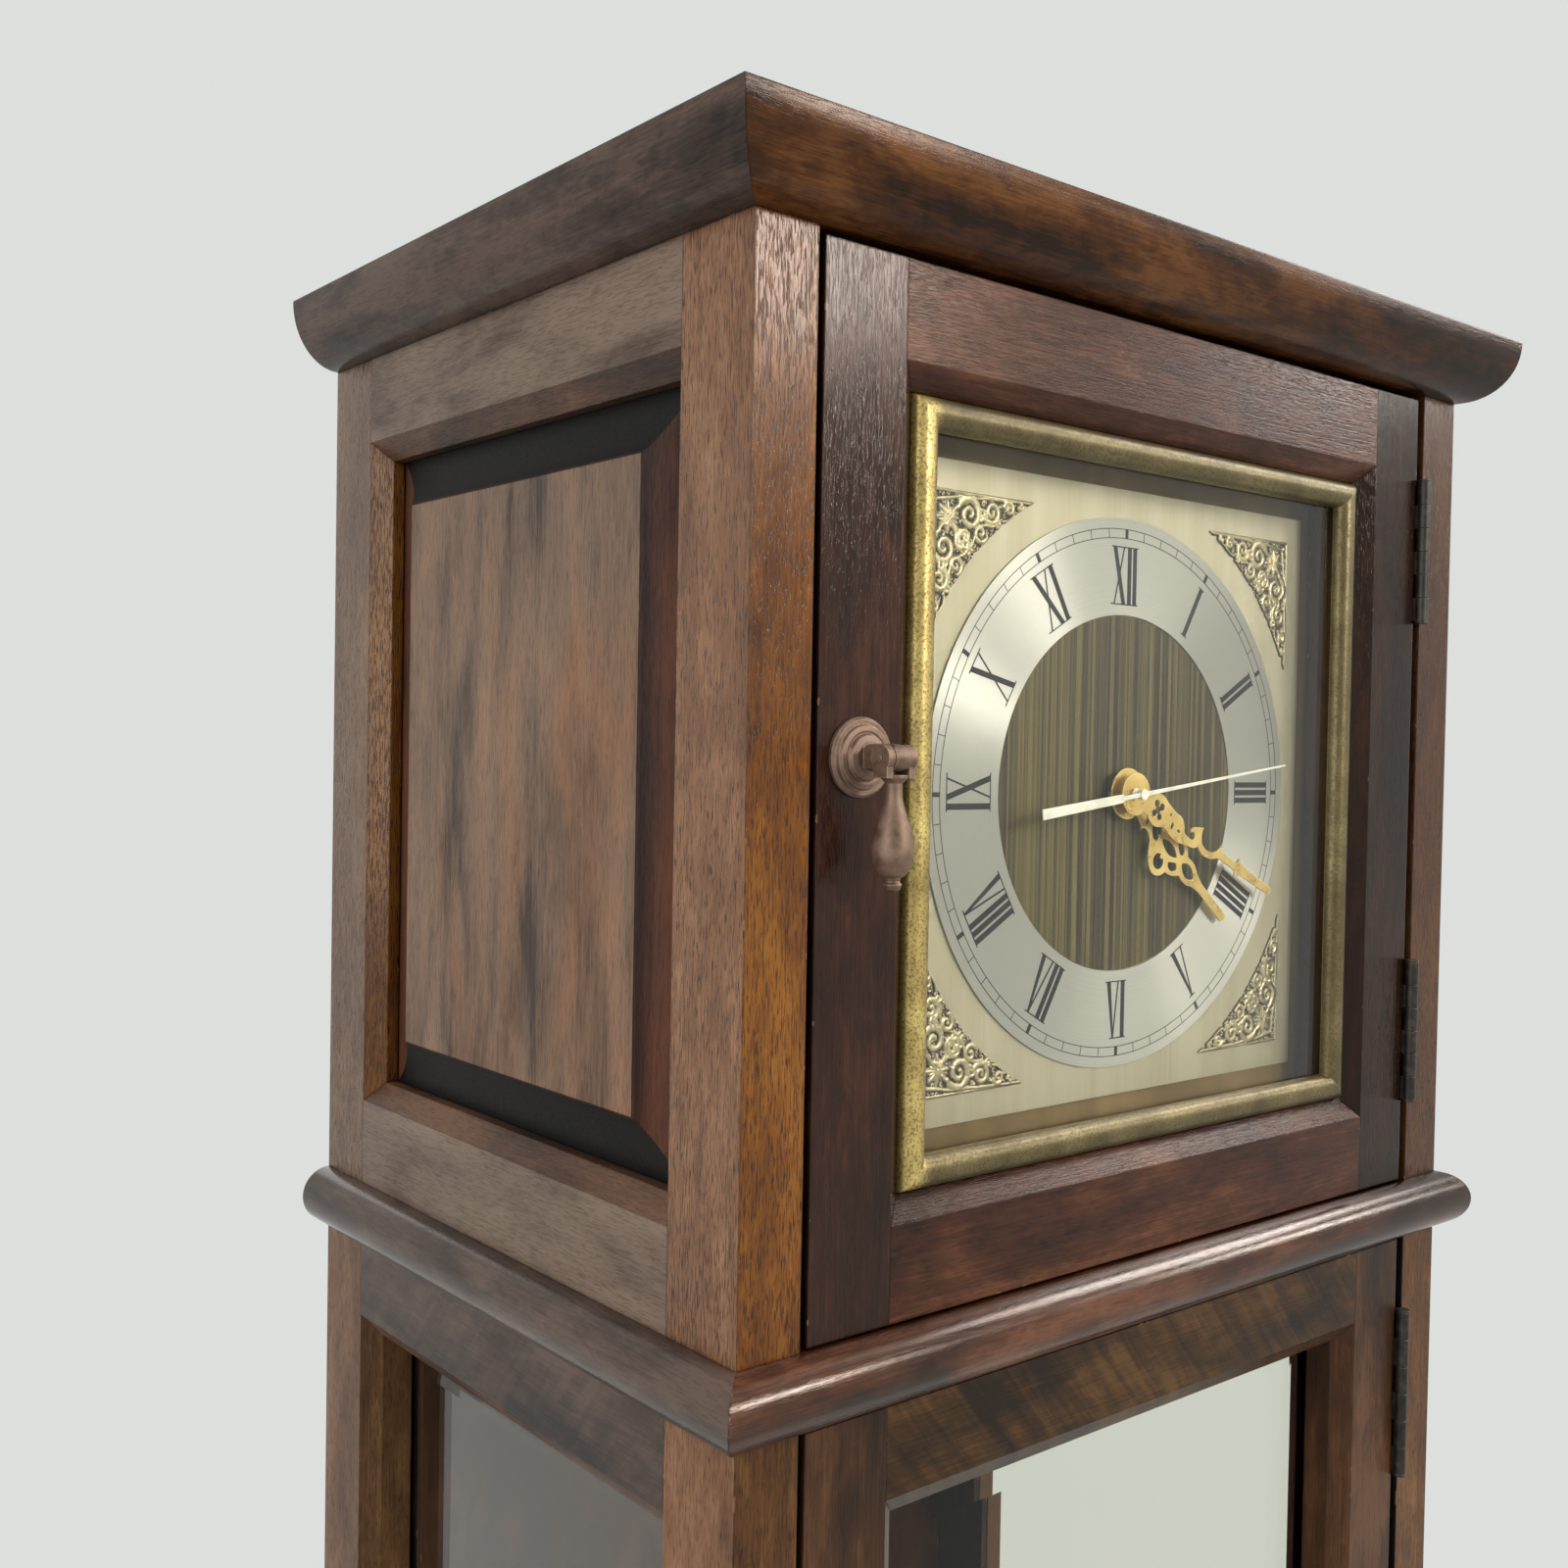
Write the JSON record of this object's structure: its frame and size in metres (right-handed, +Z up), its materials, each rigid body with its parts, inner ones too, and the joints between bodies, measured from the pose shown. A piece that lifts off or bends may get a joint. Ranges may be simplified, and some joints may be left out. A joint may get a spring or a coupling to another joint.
{
  "type": "pillar clock",
  "caption": "Tall hall clock: cornice, panelled hood with a glazed dial door, glazed trunk with a glass door, and a boarded plinth; hands, doors and drop pulls move.",
  "frame": {"origin": "bottom centre of the bounding box, on the floor under the plinth", "axes": "+Z up, -Y towards the front with the doors and the dial, +X to the viewer's right"},
  "size_m": [0.463, 0.334, 1.7253],
  "materials": {
    "case_wood": "satin lacquer over red-brown stain, vertical figure",
    "cornice_wood": "satin lacquer over red-brown stain, mottled, grain along the moulding",
    "panel_wood": "satin lacquer, mottled veneer with dark patches",
    "door_wood": "satin lacquer over dark red-brown stain",
    "cover_board": "bare hardboard",
    "back_board": "dark stained board",
    "clear_glass": "clear, slightly green at the edges",
    "gilt": "antique gold, speckled and rubbed",
    "champagne_plate": "champagne anodised, vertically brushed",
    "silvered_metal": "silvered, turned circular grain",
    "brushed_bronze": "olive-brown, vertically brushed",
    "antique_brass": "antiqued relief, dark in the recesses",
    "gold_hand": "pierced gold-coloured metal",
    "cream_enamel": "cream enamel",
    "bronze": "dark bronze plating, rubbed on edges",
    "copper_brown": "copper-brown antique finish, brighter on high spots",
    "steel": "zinc plated",
    "nickel": "nickel plated",
    "black_plastic": "moulded, fine texture",
    "gear_plastic": "natural white acetal",
    "copper_wire": "enamelled copper winding",
    "board_green": "green circuit board",
    "cell_jacket": "plain printed steel jacket"
  },
  "bodies": {
    "case": {"top_board": "case_wood", "cornice": "cornice_wood", "hood_stiles": "case_wood", "hood_side_rails": "case_wood", "hood_side_panels": "panel_wood", "hood_back_cover": "cover_board", "cover_screws": "steel", "waist_moulding": "cornice_wood", "waist_board": "case_wood", "trunk_stiles": "case_wood", "trunk_side_rails": "case_wood", "side_glass": "clear_glass", "side_glass_strips": "case_wood", "trunk_back_panel": "back_board", "base_moulding": "cornice_wood", "base_board": "case_wood", "plinth_boards": "panel_wood", "skirting": "cornice_wood", "case_hinge_leaves": "bronze", "hinge_pins": "bronze", "magnet_catches": "black_plastic", "dial_board": "back_board", "dial_plate": "champagne_plate", "chapter_ring": "silvered_metal", "centre_disc": "brushed_bronze", "spandrels": "antique_brass", "movement_case": "black_plastic", "movement_lid": "black_plastic", "fixing_nut": "nickel", "drive_coil": "copper_wire", "circuit_board": "board_green", "battery": "cell_jacket", "battery_contacts": "nickel"},
    "hood_door": {"hood_door_stiles": "door_wood", "hood_door_rails": "door_wood", "gilt_frame": "gilt", "dial_glass": "clear_glass", "hood_door_leaves": "bronze", "hood_pull_rosette": "copper_brown", "hood_strike_plate": "steel"},
    "trunk_door": {"trunk_door_stiles": "door_wood", "trunk_door_rails": "door_wood", "trunk_door_glass": "clear_glass", "trunk_door_strips": "door_wood", "trunk_door_leaves": "bronze", "trunk_pull_rosette": "copper_brown", "trunk_strike_plate": "steel"},
    "hood_drop": {"hood_pull_drop": "copper_brown"},
    "trunk_drop": {"trunk_pull_drop": "copper_brown"},
    "second": {"second_hand": "cream_enamel", "seconds_wheel": "gear_plastic"},
    "rotor_body": {"rotor": "gear_plastic"},
    "third_body": {"third_wheel": "gear_plastic"},
    "centre_body": {"centre_wheel": "gear_plastic"},
    "minute": {"minute_hand": "gold_hand", "minute_pipe": "gear_plastic"},
    "motion_body": {"motion_wheel": "gear_plastic"},
    "knob_body": {"setting_knob": "black_plastic"},
    "hour": {"hour_hand": "gold_hand", "hour_wheel": "gear_plastic"}
  },
  "joints": [
    {"name": "hood_door_hinge", "type": "hinge", "parent": "case", "child": "hood_door", "pos_m": [0.18125, -0.1454, 1.5118], "axis": [0, 0, 1], "range_deg": [0, 110]},
    {"name": "trunk_door_hinge", "type": "hinge", "parent": "case", "child": "trunk_door", "pos_m": [0.18125, -0.1454, 0.7969], "axis": [0, 0, 1], "range_deg": [0, 110]},
    {"name": "hood_drop_swing", "type": "hinge", "parent": "hood_door", "child": "hood_drop", "pos_m": [-0.1628, -0.16, 1.526], "axis": [-1, 0, 0], "range_deg": [-8, 95]},
    {"name": "trunk_drop_swing", "type": "hinge", "parent": "trunk_door", "child": "trunk_drop", "pos_m": [-0.1628, -0.16, 0.7969], "axis": [-1, 0, 0], "range_deg": [-8, 95]},
    {"name": "second_spin", "type": "hinge", "parent": "case", "child": "second", "pos_m": [0, -0.143, 1.5126], "axis": [0, 1, 0], "continuous": true},
    {"name": "rotor_spin", "type": "hinge", "parent": "case", "child": "rotor_body", "pos_m": [0.0068, -0.143, 1.52438], "axis": [0, 1, 0], "continuous": true},
    {"name": "third_spin", "type": "hinge", "parent": "case", "child": "third_body", "pos_m": [-0.01278, -0.143, 1.50795], "axis": [0, 1, 0], "continuous": true},
    {"name": "centre_spin", "type": "hinge", "parent": "case", "child": "centre_body", "pos_m": [0, -0.143, 1.5126], "axis": [0, 1, 0], "continuous": true},
    {"name": "minute_spin", "type": "hinge", "parent": "case", "child": "minute", "pos_m": [0, -0.143, 1.5126], "axis": [0, 1, 0], "continuous": true},
    {"name": "motion_spin", "type": "hinge", "parent": "case", "child": "motion_body", "pos_m": [0, -0.143, 1.5006], "axis": [0, 1, 0], "continuous": true},
    {"name": "knob_spin", "type": "hinge", "parent": "case", "child": "knob_body", "pos_m": [0.01039, -0.143, 1.4946], "axis": [0, 1, 0], "continuous": true},
    {"name": "hour_spin", "type": "hinge", "parent": "case", "child": "hour", "pos_m": [0, -0.143, 1.5126], "axis": [0, 1, 0], "continuous": true}
  ],
  "couplings": [
    {"joint": "rotor_spin", "follows": "second_spin", "ratio": -7.5},
    {"joint": "third_spin", "follows": "second_spin", "ratio": -0.125},
    {"joint": "centre_spin", "follows": "second_spin", "ratio": 0.016667},
    {"joint": "motion_spin", "follows": "minute_spin", "ratio": -0.33333},
    {"joint": "hour_spin", "follows": "minute_spin", "ratio": 0.083333},
    {"joint": "knob_spin", "follows": "minute_spin", "ratio": 1}
  ]
}
